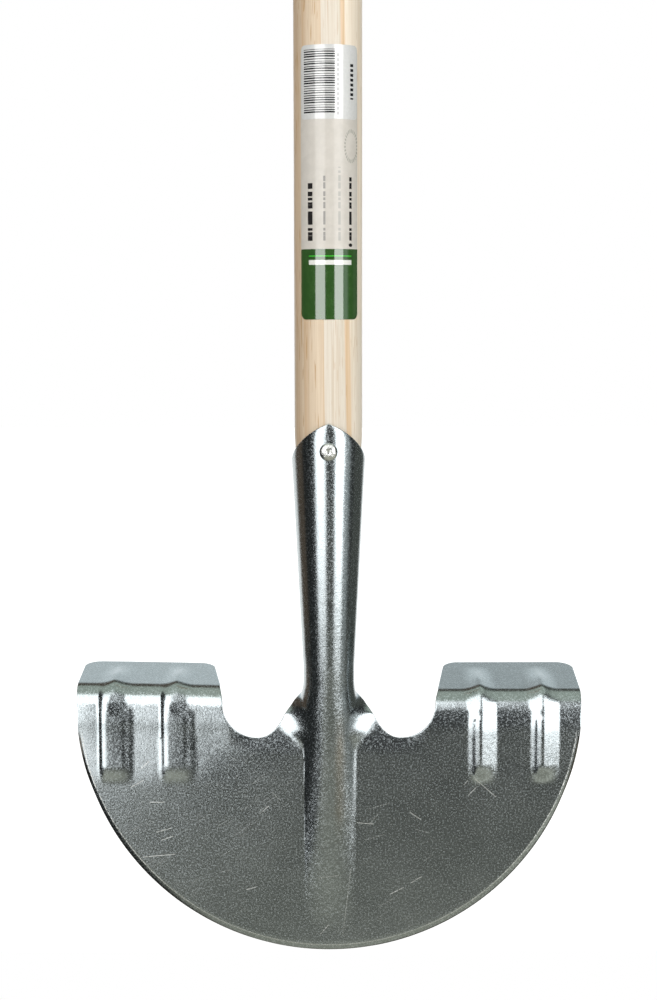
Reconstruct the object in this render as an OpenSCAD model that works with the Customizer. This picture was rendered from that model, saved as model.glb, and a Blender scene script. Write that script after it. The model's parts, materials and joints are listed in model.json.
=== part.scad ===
// Half moon lawn edger: a half-round blade with two foot treads and a rolled socket, pressed
// from one galvanised sheet, riveted to a wooden shaft with a wedged and pinned T-grip.
// Millimetres. The blade faces -Y and its cutting edge touches Z = 0.

/* [Blade] */
// Width of the half-round blade
blade_w = 212; // [180:1:250]
// Thickness of the steel sheet
sheet_t = 1.5; // [1.2:0.1:2]
// Straight side between the half circle and the treads' bend
side_rise = 1.4; // [0.6:0.2:8]
// How far the blade's front face lies ahead of the shaft's axis
blade_lead = 4; // [3:0.5:6]
// Width of the ground bevel along the cutting edge
bevel_w = 2.4; // [1:0.2:5]
// Thickness left at the cutting edge
edge_t = 0.5; // [0.3:0.1:1]

/* [Treads] */
// Width of each foot tread
tread_w = 61; // [50:1:66]
// Depth of the treads from the blade's front face to their free edge
tread_depth = 36; // [28:1:45]
// Slope of the treads, rising away from the blade
tread_tilt = 7; // [0:1:15]
// Outside radius of the bend into the treads
bend_r = 7; // [5:0.5:10]
// Radius of the treads' free corners
tread_corner_r = 5; // [2:0.5:8]
// How far the inner side of a tread draws back towards its free edge
tread_draw = 4; // [0:0.5:8]
// Radius of the notch beside each tread
notch_r = 14.7; // [10:0.1:18]

/* [Tread ribs] */
// Width of a pressed rib
rib_w = 12; // [9:0.5:14]
// Height of a pressed rib
rib_h = 2.1; // [1:0.1:3]
// Reach of the ribs down the blade from the bend
rib_drop = 32; // [20:1:45]
// Reach of the ribs along the tread from the bend
rib_reach = 15; // [10:1:20]
// Length over which a rib's end dies away
rib_fade = 9; // [5:0.5:10]

/* [Ridge] */
// Width of the ridge that carries the socket into the blade
ridge_w = 21; // [16:0.5:26]
// Height above the cutting edge at which the ridge dies away
ridge_toe = 8; // [2:1:30]

/* [Socket] */
// Height of the socket's neck above the bend line
neck_rise = 15.6; // [12:0.2:22]
// Outside diameter at the neck
neck_d = 21.4; // [19:0.1:24]
// Length of the socket from the neck to the tip of its tongue
socket_len = 103; // [80:1:130]
// Outside diameter at the tip of the tongue
mouth_d = 31.8; // [30:0.1:34]
// How far the mouth slopes down from its tongue to the seam
mouth_drop = 24; // [10:1:34]
// Extra dip of the mouth at the sides, which points the tongue
mouth_dip = 4; // [0:0.5:8]
// Gap of the seam at the back of the socket
seam_gap = 1.6; // [0.6:0.2:4]
// Height above the neck at which the seam has closed
seam_rise = 22; // [15:1:35]
// Half width of the sheet at its waist, below the neck
waist_half = 21; // [19:0.5:24]
// Height of the waist above the bottom of the notches
waist_rise = 13.5; // [8:0.5:16]
// Radius of the fillet where the neck spreads into the blade
wing_r = 10; // [6:0.5:14]

/* [Shaft] */
// Diameter of the shaft
shaft_d = 28; // [26:0.5:29]
// Length of the handle from the shaft's foot to the top of the grip
handle_len = 850; // [700:10:1100]
// Gap between the shaft's taper and the socket
socket_fit = 0.15; // [0.1:0.05:0.4]

/* [Rivet] */
// Diameter of the rivet's shank
rivet_d = 4; // [3:0.5:5]
// Diameter of the rivet's round head
rivet_head_d = 7.4; // [6:0.2:10]
// Height of the rivet's round head
rivet_head_h = 2; // [1:0.2:3]
// Distance of the rivet below the tip of the tongue
rivet_drop = 11.4; // [8:0.2:16]
// Clearance of the rivet in its holes
rivet_fit = 0.1; // [0.05:0.05:0.3]
// Diameter of the washer under the closed end
washer_d = 11; // [9:0.5:13]
// Thickness of the washer
washer_t = 1; // [0.6:0.1:1.6]

/* [Grip] */
// Length of the crossbar
grip_len = 130; // [110:1:160]
// Diameter of the crossbar's belly
grip_belly_d = 34; // [32:0.5:40]
// Length of the belly's straight middle
grip_belly_len = 36; // [32:1:48]
// Diameter of the crossbar's arms
grip_arm_d = 28; // [24:0.5:30]
// Length of the slope between the belly and an arm
grip_slope_len = 9; // [6:0.5:14]
// Radius of the crossbar's rounded ends
grip_end_r = 8; // [3:0.5:11]
// Diameter of the shaft's tenon
tenon_d = 18; // [14:0.5:20]
// Gap round the shaft and its tenon in the crossbar
tenon_fit = 0.1; // [0.05:0.05:0.3]
// Depth of the wedge in the tenon
wedge_len = 18; // [12:0.5:20]
// Thickness of the wedge at its top
wedge_t = 3; // [2:0.2:4]
// Thickness of the wedge at its nose
wedge_nose_t = 0.8; // [0.4:0.1:1.2]
// Diameter of the pin through the crossbar and the tenon
grip_pin_d = 4; // [3:0.5:5]
// Distance of the pin below the crossbar's axis
grip_pin_drop = 4.5; // [4:0.5:6]
// Depth of the pin's ends below the crossbar's surface
grip_pin_sink = 0.4; // [0.2:0.1:1]

/* [Labels] */
// Height of the clear film label's lower edge above the tip of the tongue
film_rise = 42.3; // [30:0.1:80]
// Length of the film label along the shaft
film_len = 108; // [80:1:140]
// Width of the film label as seen from the front
film_w = 23; // [16:0.5:25]
// Height of the white label's lower edge above the film's lower edge
bar_rise = 79.8; // [60:0.1:90]
// Length of the white label along the shaft
bar_len = 30; // [20:1:40]
// Width of the white label as seen from the front
bar_w = 22.2; // [14:0.2:24]
// Radius of the labels' corners
label_corner_r = 2; // [1:0.5:4]
// Thickness of a label
label_t = 0.12; // [0.08:0.02:0.3]
// Thickness of the glue under a label
label_glue_t = 0.05; // [0.02:0.01:0.1]
// How far round the shaft the labels sit off centre
label_turn = 2.5; // [-10:0.5:10]

/* [Hidden] */
$fn = 72;

// Overrun of every cut past the surface that it opens
overrun = 1;

// Heights, from the cutting edge upwards
blade_r = blade_w / 2;
bend_z = blade_r + side_rise;
notch_z = bend_z - notch_r;
neck_z = bend_z + neck_rise;
seam_z = neck_z + seam_rise;
tip_z = neck_z + socket_len;
rivet_z = tip_z - rivet_drop;
grip_z = neck_z + handle_len - grip_belly_d / 2;
film_z = tip_z + film_rise;
bar_z = film_z + bar_rise;

// Places across the blade, from its middle outwards
tread_in_x = blade_r - tread_w;
notch_x = tread_in_x - notch_r;
ridge_half = ridge_w / 2;
rib_place_shares = [0.33, 0.76];
rib_xs = [for (share = rib_place_shares) tread_in_x + tread_w * share];

// Depths, from the shaft's axis
face_y = -blade_lead;
shaft_r = shaft_d / 2;
bend_angle = 90 - tread_tilt;
bend_len = bend_r * bend_angle * PI / 180;
tread_flat_len = (tread_depth - bend_r * (1 - cos(bend_angle))) / sin(bend_angle);
path_len = bend_len + tread_flat_len;

function rad(degrees) = degrees * PI / 180;
function deg(radians) = radians * 180 / PI;
function mix(a, b, share) = a + (b - a) * share;
function smooth(share) = let (u = max(0, min(1, share))) u * u * (3 - 2 * u);

// Outside radius of the socket's cone at a height
function socket_r(z) = mix(neck_d, mouth_d, (z - neck_z) / socket_len) / 2;

// Rivet and frame
rivet_face_y = -socket_r(rivet_z);
seat_y = sqrt(pow(wood_r(rivet_z), 2) - pow(washer_d / 2, 2));
front_y = min(rivet_face_y - rivet_head_h, -grip_belly_d / 2);
back_y = face_y + tread_depth + sheet_t * cos(bend_angle);
frame_y = -(front_y + back_y) / 2;

// Radius of the shaft: a taper that fits the socket, then straight
function wood_r(z) = min(shaft_r, socket_r(z) - sheet_t - socket_fit);
taper_z = neck_z + socket_len * (shaft_r + sheet_t + socket_fit - neck_d / 2) / ((mouth_d - neck_d) / 2);

// Height of the crossbar's flat seat for the shaft's shoulder
grip_seat_z = grip_z - sqrt(max(0, pow(grip_belly_d / 2, 2) - pow(shaft_r, 2)));

// The pressed sheet

// The ridge swells from nothing at its toe to the full socket at the neck
toe_ease_share = 0.15;
function swell(u) = u <= 0 ? 0 : u * u / (u + toe_ease_share) * (1 + toe_ease_share);
neck_height = socket_r(neck_z) - blade_lead;
function ridge_height(z) = neck_height * swell((z - ridge_toe) / (neck_z - ridge_toe));

// Shares of the ridge's flank that are crown and that are fillet
crown_share = 0.78;
fillet_share = 1 - crown_share;

// A level cut through the sheet: [crest y, crown radius, fillet radius, steepest angle].
// The outside starts at the crest, rounds over the crown, and hollows out again at the fillet.
function ridge_angle(z) = 2 * atan(ridge_height(z) / ridge_half);
function ridge_cut(z) =
    let (angle = ridge_angle(z))
    angle <= 0 ? [face_y, 0, 0, 0] :
    let (sum_r = ridge_half / sin(angle))
    [face_y - ridge_height(z), sum_r * crown_share, sum_r * fillet_share, angle];

seam_angle = 180 - deg(seam_gap / 2 / socket_r(seam_z));
wing_share = 0.25;
function neck_cut(z) =
    let (foot = ridge_cut(notch_z), u = (z - notch_z) / (seam_z - notch_z))
    [z < neck_z ? face_y - ridge_height(z) : -socket_r(z),
     mix(foot[1], socket_r(z), smooth(u)),
     mix(foot[2], wing_r, smooth(u / wing_share)),
     mix(foot[3], seam_angle, smooth(u))];

function tube_cut(z) = [-socket_r(z), socket_r(z), wing_r, 180 - deg(seam_gap / 2 / socket_r(z))];

function cut_at(z) = z <= notch_z ? ridge_cut(z) : z < seam_z ? neck_cut(z) : tube_cut(z);

// A point of a level cut, at a run along its outside from the crest: [x, y, slope of the sheet]
function cut_point(cut, run) =
    let (crest = cut[0], crown = cut[1], fillet = cut[2], angle = cut[3],
         crown_run = crown * rad(angle), fillet_run = fillet * rad(angle))
    run <= crown_run && crown > 0 ?
        let (a = deg(run / crown)) [crown * sin(a), crest + crown * (1 - cos(a)), a] :
    run <= crown_run + fillet_run && fillet > 0 ?
        let (a = angle - deg((run - crown_run) / fillet))
        [crown * sin(angle) + fillet * (sin(angle) - sin(a)),
         crest + crown * (1 - cos(angle)) + fillet * (cos(a) - cos(angle)), a] :
    [(crown + fillet) * sin(angle) + run - crown_run - fillet_run,
     crest + (crown + fillet) * (1 - cos(angle)), 0];

// Run from the crest to the line of the notches, which divides the middle from the sides
function notch_run(z) =
    let (cut = ridge_cut(z))
    (cut[1] + cut[2]) * rad(cut[3]) + notch_x - (cut[1] + cut[2]) * sin(cut[3]);

// Run from the crest to the sheet's own edge above the notch: in to the waist, out to the seam
waist_z = notch_z + waist_rise;
function edge_run(z) =
    z < waist_z ?
        let (b = (waist_z - z) / waist_rise, full = notch_run(notch_z))
        full - (full - waist_half) * sqrt(max(0, 1 - b * b)) :
    z < seam_z ?
        mix(waist_half, socket_r(seam_z) * rad(seam_angle), smooth((z - waist_z) / (seam_z - waist_z))) :
        socket_r(z) * rad(180) - seam_gap / 2;

// Height of the mouth round the socket, from the front at 0 to the seam at 180
function mouth_z(angle) = tip_z - mouth_drop * (1 - cos(angle)) / 2 - mouth_dip * sin(angle);

// Height of the half-round cutting edge
function edge_z(x) = blade_r - sqrt(max(0, blade_r * blade_r - x * x));

// Both skins of the sheet at a point: [outside, inside], with the slope about Z or about X
function middle_pair(x, y, z, slope) =
    [[x, y, z], [x - sheet_t * sin(slope), y + sheet_t * cos(slope), z]];

function rib_height(x, path) =
    let (along = smooth((path + rib_drop) / rib_fade) * smooth((bend_len + rib_reach - path) / rib_fade),
         nearest = min([for (rib_x = rib_xs) abs(x - rib_x)]))
    nearest >= rib_w / 2 ? 0 : rib_h * along * pow(cos(180 * nearest / rib_w), 2);

// A point of the blade's side or of a tread, at a path from the bend line: down is negative
function side_pair(x, path) =
    let (turn = path <= 0 ? 0 : min(deg(path / bend_r), bend_angle),
         past = max(0, path - bend_len),
         rise = rib_height(x, path),
         y = face_y + bend_r * (1 - cos(turn)) + past * sin(turn) - rise * cos(turn),
         z = bend_z + min(0, path) + bend_r * sin(turn) + past * cos(turn) + rise * sin(turn))
    [[x, y, z], [x, y + sheet_t * cos(turn), z - sheet_t * sin(turn)]];

// Rows from the cutting edge to the notches, then from the notches to the mouth or the free edge
low_shares = [0, 0.12, 0.28, 0.44, 0.58, 0.7, 0.78, 0.85, 0.92, 1];
low_rows = len(low_shares) - 1;
notch_steps = 5;
bend_steps = 8;
flat_shares = [0.12, 0.24, 0.36, 0.48, 0.7, 1];
high_rows = notch_steps + bend_steps + len(flat_shares);
rows = low_rows + high_rows;

// Columns of the middle, as shares of the run, and of a side, as places across it
middle_shares = [for (k = [0:18]) k / 18];
inner_shares = [0, 0.1, 0.3, 0.62];
rib_shares = [-0.5, -0.27, 0, 0.27, 0.5];
outer_shares = [0.3, 0.55, 0.76, 0.9, 1];
first_rib_x = rib_xs[0] - rib_w / 2;
last_rib_x = rib_xs[1] + rib_w / 2;
side_xs = concat(
    [for (share = inner_shares) mix(notch_x, first_rib_x, share)],
    [for (rib_x = rib_xs, share = rib_shares) rib_x + rib_w * share],
    [for (share = outer_shares) mix(last_rib_x, blade_r, share)]);

// The middle strip: blade and ridge below the notches, neck and socket above
neck_steps = 9;
function middle_z(row, share) =
    row <= low_rows ? mix(edge_z(share * notch_x), notch_z, low_shares[row]) :
    row <= low_rows + notch_steps ?
        waist_z - waist_rise * cos(90 * (row - low_rows) / notch_steps) :
    row <= low_rows + notch_steps + neck_steps ?
        mix(waist_z, seam_z, (row - low_rows - notch_steps) / neck_steps) :
        mix(seam_z, mouth_z(180 * share),
            (row - low_rows - notch_steps - neck_steps) / (high_rows - notch_steps - neck_steps));

function middle_point(row, share) =
    let (z = middle_z(row, share),
         run = share * (row <= low_rows ? notch_run(z) : edge_run(z)),
         p = cut_point(cut_at(z), run))
    middle_pair(p[0], p[1], z, p[2]);

// A side strip: blade below the notches, then face, bend and tread above
split_power = 6;
function split_z(x) =
    mix(notch_z, bend_z - side_rise / 2, pow((x - notch_x) / (blade_r - notch_x), split_power));

// The inner side follows the notch's arc and then the drawn side of the tread
function inner_x(row) =
    row <= low_rows ? notch_x :
    row <= low_rows + notch_steps ? notch_x + notch_r * sin(90 * (row - low_rows) / notch_steps) :
    tread_in_x + tread_draw * max(0, row_path(row) - bend_len) / tread_flat_len;

function side_x(row, x) =
    x >= first_rib_x ? x : mix(inner_x(row), first_rib_x, (x - notch_x) / (first_rib_x - notch_x));

// How much a rounded corner shortens the tread at a distance from its side
function corner_cut(distance) =
    distance >= tread_corner_r ? 0 :
    tread_corner_r - sqrt(max(0, pow(tread_corner_r, 2) - pow(tread_corner_r - distance, 2)));

function row_path(row) =
    let (step = row - low_rows - notch_steps)
    step <= bend_steps ? bend_len * step / bend_steps :
    mix(bend_len, path_len, flat_shares[step - bend_steps - 1]);

function side_path(row, x) =
    row <= low_rows ? mix(edge_z(x), split_z(x), low_shares[row]) - bend_z :
    row <= low_rows + notch_steps ?
        (split_z(x) - bend_z) * cos(90 * (row - low_rows) / notch_steps) :
    row <= low_rows + notch_steps + bend_steps ? row_path(row) :
        let (wide = side_x(row, x),
             lost = corner_cut(wide - inner_x(row)) + corner_cut(blade_r - wide))
        mix(bend_len, path_len - lost, (row_path(row) - bend_len) / tread_flat_len);

function side_point(row, x) = side_pair(side_x(row, x), side_path(row, x));

function mirrored(pair) = [for (p = pair) [-p[0], p[1], p[2]]];

// Columns from left to right. A side and the middle share the column at a notch, up to the notch.
side_cols = len(side_xs);
half_cols = len(middle_shares);
middle_first = side_cols;
middle_last = middle_first + 2 * half_cols - 2;
cols = middle_last + 1 + side_cols;

function column_point(row, col) =
    col < middle_first ? mirrored(side_point(row, side_xs[side_cols - 1 - col])) :
    col > middle_last ? side_point(row, side_xs[col - middle_last - 1]) :
    let (k = col - middle_first - (half_cols - 1))
    k < 0 ? mirrored(middle_point(row, middle_shares[-k])) : middle_point(row, middle_shares[k]);

function skin(row, col, inside) =
    let (shared = row <= low_rows,
         home = shared && col == middle_first ? col - 1 : shared && col == middle_last ? col + 1 : col)
    2 * (row * cols + home) + inside;

function is_gap(col) = col == middle_first - 1 || col == middle_last;

// A quad between four corners, as two triangles
function quad(a, b, c, d) = [[a, b, c], [a, c, d]];

function skin_faces() = [
    for (row = [0:rows - 1], col = [0:cols - 2]) if (!is_gap(col))
        let (up = row + 1, next = col + 1)
        each concat(
            quad(skin(row, col, 0), skin(up, col, 0), skin(up, next, 0), skin(row, next, 0)),
            quad(skin(row, col, 1), skin(row, next, 1), skin(up, next, 1), skin(up, col, 1)))];

// Walls of the sheet's thickness along a row, a left-hand side and a right-hand side
function row_wall(row, top) = [
    for (col = [0:cols - 2]) if (!is_gap(col))
        each top ?
            quad(skin(row, col, 0), skin(row, col, 1), skin(row, col + 1, 1), skin(row, col + 1, 0)) :
            quad(skin(row, col, 0), skin(row, col + 1, 0), skin(row, col + 1, 1), skin(row, col, 1))];

function side_wall(col, from, left) = [
    for (row = [from:rows - 1])
        each left ?
            quad(skin(row, col, 0), skin(row, col, 1), skin(row + 1, col, 1), skin(row + 1, col, 0)) :
            quad(skin(row, col, 0), skin(row + 1, col, 0), skin(row + 1, col, 1), skin(row, col, 1))];

module pressed_sheet() {
    points = [for (row = [0:rows], col = [0:cols - 1]) each column_point(row, col)];
    faces = concat(
        skin_faces(),
        row_wall(0, false),
        row_wall(rows, true),
        side_wall(0, 0, true),
        side_wall(cols - 1, 0, false),
        side_wall(middle_first - 1, low_rows, false),
        side_wall(middle_first, low_rows, true),
        side_wall(middle_last, low_rows, false),
        side_wall(middle_last + 1, low_rows, true));
    polyhedron(points, faces);
}

// Ring of metal that grinding takes off the front of the cutting edge
module edge_grind() {
    grind_slope = (sheet_t - edge_t) / bevel_w;
    translate([0, face_y, blade_r])
        rotate([-90, 0, 0])
            rotate_extrude(angle = 180)
                polygon([
                    [blade_r - bevel_w, 0],
                    [blade_r + overrun, grind_slope * (bevel_w + overrun)],
                    [blade_r + overrun, -overrun],
                    [blade_r - bevel_w, -overrun]]);
}

// A cylinder along Y, from one depth to another
module cross_bar(from_y, to_y, d, z) {
    translate([0, to_y, z])
        rotate([90, 0, 0])
            cylinder(h = to_y - from_y, d = d);
}

// Every module below is drawn about the shaft's axis and set into the part's frame by this one
module framed() {
    translate([0, frame_y, 0]) children();
}

module blade() {
    color([0.60, 0.63, 0.63])
        framed()
            difference() {
                pressed_sheet();
                edge_grind();
                cross_bar(-mouth_d / 2 - overrun, 0, rivet_d + 2 * rivet_fit, rivet_z);
            }
}

// A round head: the cap of a ball, with its flat at Z = 0
module round_head(d, h) {
    ball_r = (pow(d / 2, 2) + h * h) / (2 * h);
    rotate_extrude()
        intersection() {
            translate([0, h - ball_r]) circle(r = ball_r);
            square([d / 2, h]);
        }
}

// The head's underside is hollowed to the socket, so that it seats all round
skirt_h = socket_r(rivet_z) - sqrt(pow(socket_r(rivet_z), 2) - pow(rivet_head_d / 2, 2)) + rivet_fit;
tail_d_share = 0.9;
tail_h_share = 0.8;

module socket_cone() {
    low_z = rivet_z - rivet_head_d;
    high_z = rivet_z + rivet_head_d;
    translate([0, 0, low_z])
        cylinder(h = high_z - low_z, r1 = socket_r(low_z), r2 = socket_r(high_z));
}

module socket_rivet() {
    tail_y = seat_y + washer_t;
    color([0.66, 0.68, 0.68])
        framed() {
            difference() {
                union() {
                    translate([0, rivet_face_y, rivet_z])
                        rotate([90, 0, 0]) round_head(rivet_head_d, rivet_head_h);
                    cross_bar(rivet_face_y, rivet_face_y + skirt_h, rivet_head_d, rivet_z);
                }
                socket_cone();
            }
            cross_bar(rivet_face_y - rivet_head_h / 2, tail_y + overrun / 2, rivet_d, rivet_z);
            translate([0, tail_y, rivet_z])
                rotate([-90, 0, 0]) round_head(rivet_head_d * tail_d_share, rivet_head_h * tail_h_share);
        }
}

module rivet_washer() {
    color([0.66, 0.68, 0.68])
        framed()
            difference() {
                cross_bar(seat_y, seat_y + washer_t, washer_d, rivet_z);
                cross_bar(seat_y - overrun, seat_y + washer_t + overrun, rivet_d + 2 * rivet_fit, rivet_z);
            }
}

// The belly's cylinder, which also trims the tenon and its wedge flush
module belly() {
    translate([-grip_belly_len / 2, 0, grip_z])
        rotate([0, 90, 0]) cylinder(h = grip_belly_len, d = grip_belly_d);
}

grip_top_z = grip_z + grip_belly_d / 2;

// The wedge and the saw cut that it spreads, seen from the front
module wedge_outline() {
    nose_z = grip_top_z - wedge_len;
    polygon([
        [-wedge_nose_t / 2, nose_z],
        [wedge_nose_t / 2, nose_z],
        [wedge_t / 2, grip_top_z],
        [wedge_t / 2, grip_top_z + overrun],
        [-wedge_t / 2, grip_top_z + overrun],
        [-wedge_t / 2, grip_top_z]]);
}

module wedge_bar(width) {
    translate([0, width / 2, 0])
        rotate([90, 0, 0])
            linear_extrude(height = width) wedge_outline();
}

module tenon() {
    translate([0, 0, grip_seat_z - overrun])
        cylinder(h = grip_top_z - grip_seat_z + overrun, d = tenon_d);
}

foot_chamfer_share = 0.15;

module shaft() {
    foot_r = wood_r(neck_z);
    chamfer = foot_r * foot_chamfer_share;
    color([0.86, 0.75, 0.58])
        framed()
            difference() {
                union() {
                    rotate_extrude()
                        polygon([
                            [0, neck_z],
                            [foot_r - chamfer, neck_z],
                            [wood_r(neck_z + chamfer), neck_z + chamfer],
                            [shaft_r, taper_z],
                            [shaft_r, grip_seat_z],
                            [0, grip_seat_z]]);
                    intersection() {
                        tenon();
                        belly();
                    }
                }
                wedge_bar(tenon_d + 2 * overrun);
                cross_bar(-grip_belly_d / 2, grip_belly_d / 2, grip_pin_d, grip_z - grip_pin_drop);
                cross_bar(-shaft_d, shaft_d, rivet_d + 2 * rivet_fit, rivet_z);
                cross_bar(seat_y, shaft_d, washer_d + 2 * rivet_fit, rivet_z);
            }
}

// Half of the crossbar's outline: belly, slope of two arcs, arm and rounded end
grip_belly_half = grip_belly_len / 2;
grip_arm_x = grip_belly_half + grip_slope_len;
grip_slope_drop = (grip_belly_d - grip_arm_d) / 2;
grip_slope_r = (pow(grip_slope_len, 2) + pow(grip_slope_drop, 2)) / (4 * grip_slope_drop);

module grip_half_outline() {
    belly_r = grip_belly_d / 2;
    arm_r = grip_arm_d / 2;
    half_len = grip_len / 2;
    middle_x = grip_belly_half + grip_slope_len / 2;
    square([belly_r, grip_belly_half]);
    intersection() {
        translate([belly_r - grip_slope_r, grip_belly_half]) circle(r = grip_slope_r);
        translate([0, grip_belly_half]) square([belly_r, grip_slope_len / 2]);
    }
    square([arm_r, middle_x]);
    difference() {
        square([belly_r - grip_slope_drop / 2, grip_arm_x]);
        square([belly_r, middle_x]);
        translate([arm_r + grip_slope_r, grip_arm_x]) circle(r = grip_slope_r);
    }
    square([arm_r, half_len - grip_end_r]);
    square([arm_r - grip_end_r, half_len]);
    intersection() {
        translate([arm_r - grip_end_r, half_len - grip_end_r]) circle(r = grip_end_r);
        square([arm_r, half_len]);
    }
}

module grip_outline() {
    grip_half_outline();
    mirror([0, 1]) grip_half_outline();
}

module grip() {
    color([0.84, 0.73, 0.56])
        framed()
            difference() {
                translate([0, 0, grip_z])
                    rotate([0, 90, 0])
                        rotate_extrude() grip_outline();
                translate([0, 0, grip_z - grip_belly_d])
                    cylinder(h = 2 * grip_belly_d, d = tenon_d + 2 * tenon_fit);
                translate([0, 0, grip_z - grip_belly_d])
                    cylinder(h = grip_seat_z - grip_z + grip_belly_d, d = shaft_d + 2 * tenon_fit);
                cross_bar(-grip_belly_d, grip_belly_d, grip_pin_d, grip_z - grip_pin_drop);
            }
}

module grip_wedge() {
    color([0.58, 0.40, 0.24])
        framed()
            intersection() {
                wedge_bar(tenon_d + 2 * overrun);
                tenon();
                belly();
            }
}

module grip_pin() {
    half = sqrt(pow(grip_belly_d / 2, 2) - pow(grip_pin_drop, 2)) - grip_pin_sink;
    color([0.62, 0.63, 0.64])
        framed() cross_bar(-half, half, grip_pin_d, grip_z - grip_pin_drop);
}

// A label bent round the shaft: its outline is drawn as seen from the front
module label_outline(w, h) {
    translate([-w / 2 + label_corner_r, 0]) square([w - 2 * label_corner_r, h]);
    translate([-w / 2, label_corner_r]) square([w, h - 2 * label_corner_r]);
    for (x = [-1, 1], z = [label_corner_r, h - label_corner_r])
        translate([x * (w / 2 - label_corner_r), z]) circle(r = label_corner_r);
}

module label(z, w, h, inner_r) {
    rotate([0, 0, label_turn])
        translate([0, 0, z])
            intersection() {
                difference() {
                    cylinder(h = h, r = inner_r + label_t);
                    translate([0, 0, -overrun]) cylinder(h = h + 2 * overrun, r = inner_r);
                }
                rotate([90, 0, 0])
                    linear_extrude(height = inner_r + label_t + overrun) label_outline(w, h);
            }
}

module film_label() {
    color([0.86, 0.88, 0.84, 0.5]) framed() label(film_z, film_w, film_len, shaft_r + label_glue_t);
}

module bar_label() {
    color([0.95, 0.95, 0.94]) framed() label(bar_z, bar_w, bar_len, shaft_r + label_t + 2 * label_glue_t);
}

blade();
socket_rivet();
rivet_washer();
shaft();
grip();
grip_wedge();
grip_pin();
film_label();
bar_label();
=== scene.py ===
import json
from math import acos, asin, atan, atan2, cos, degrees, exp, hypot, pi, radians, sin, sqrt, tan

import bpy
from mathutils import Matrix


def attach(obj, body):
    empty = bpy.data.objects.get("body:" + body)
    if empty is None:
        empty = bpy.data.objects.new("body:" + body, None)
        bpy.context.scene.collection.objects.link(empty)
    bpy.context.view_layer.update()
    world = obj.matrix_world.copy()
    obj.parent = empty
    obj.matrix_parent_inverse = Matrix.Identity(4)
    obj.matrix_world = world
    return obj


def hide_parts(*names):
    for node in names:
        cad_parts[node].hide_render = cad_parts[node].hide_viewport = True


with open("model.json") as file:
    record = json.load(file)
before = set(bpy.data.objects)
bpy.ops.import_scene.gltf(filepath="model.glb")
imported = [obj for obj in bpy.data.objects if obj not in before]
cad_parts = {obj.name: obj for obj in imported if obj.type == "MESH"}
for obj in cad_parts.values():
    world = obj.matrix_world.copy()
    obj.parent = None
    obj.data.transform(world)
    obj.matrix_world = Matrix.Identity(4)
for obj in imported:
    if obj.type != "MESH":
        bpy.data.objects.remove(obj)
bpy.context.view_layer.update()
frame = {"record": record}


# The view of the photograph: level with the foot of the label and a little above the blade,
# looking slightly down at the tool's lower half. The shaft's axis is where the record has its clip.
axis_y = next(mount["pos_m"][1] for mount in frame["record"]["mounts"] if mount["name"] == "shaft_clip")
camera_place, camera_pitch, camera_roll = (0.0001, axis_y - 0.7038, 0.2685), radians(83.9), radians(0.11)
bpy.ops.object.select_all(action="DESELECT")
bpy.ops.object.camera_add(location=camera_place, rotation=(camera_pitch, camera_roll, 0))
camera = bpy.context.object
camera.data.lens = 60.98
camera.data.sensor_width = 36
camera.data.clip_start = 0.01
bpy.context.scene.camera = camera
bpy.context.scene.view_settings.view_transform = "Standard"


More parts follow.
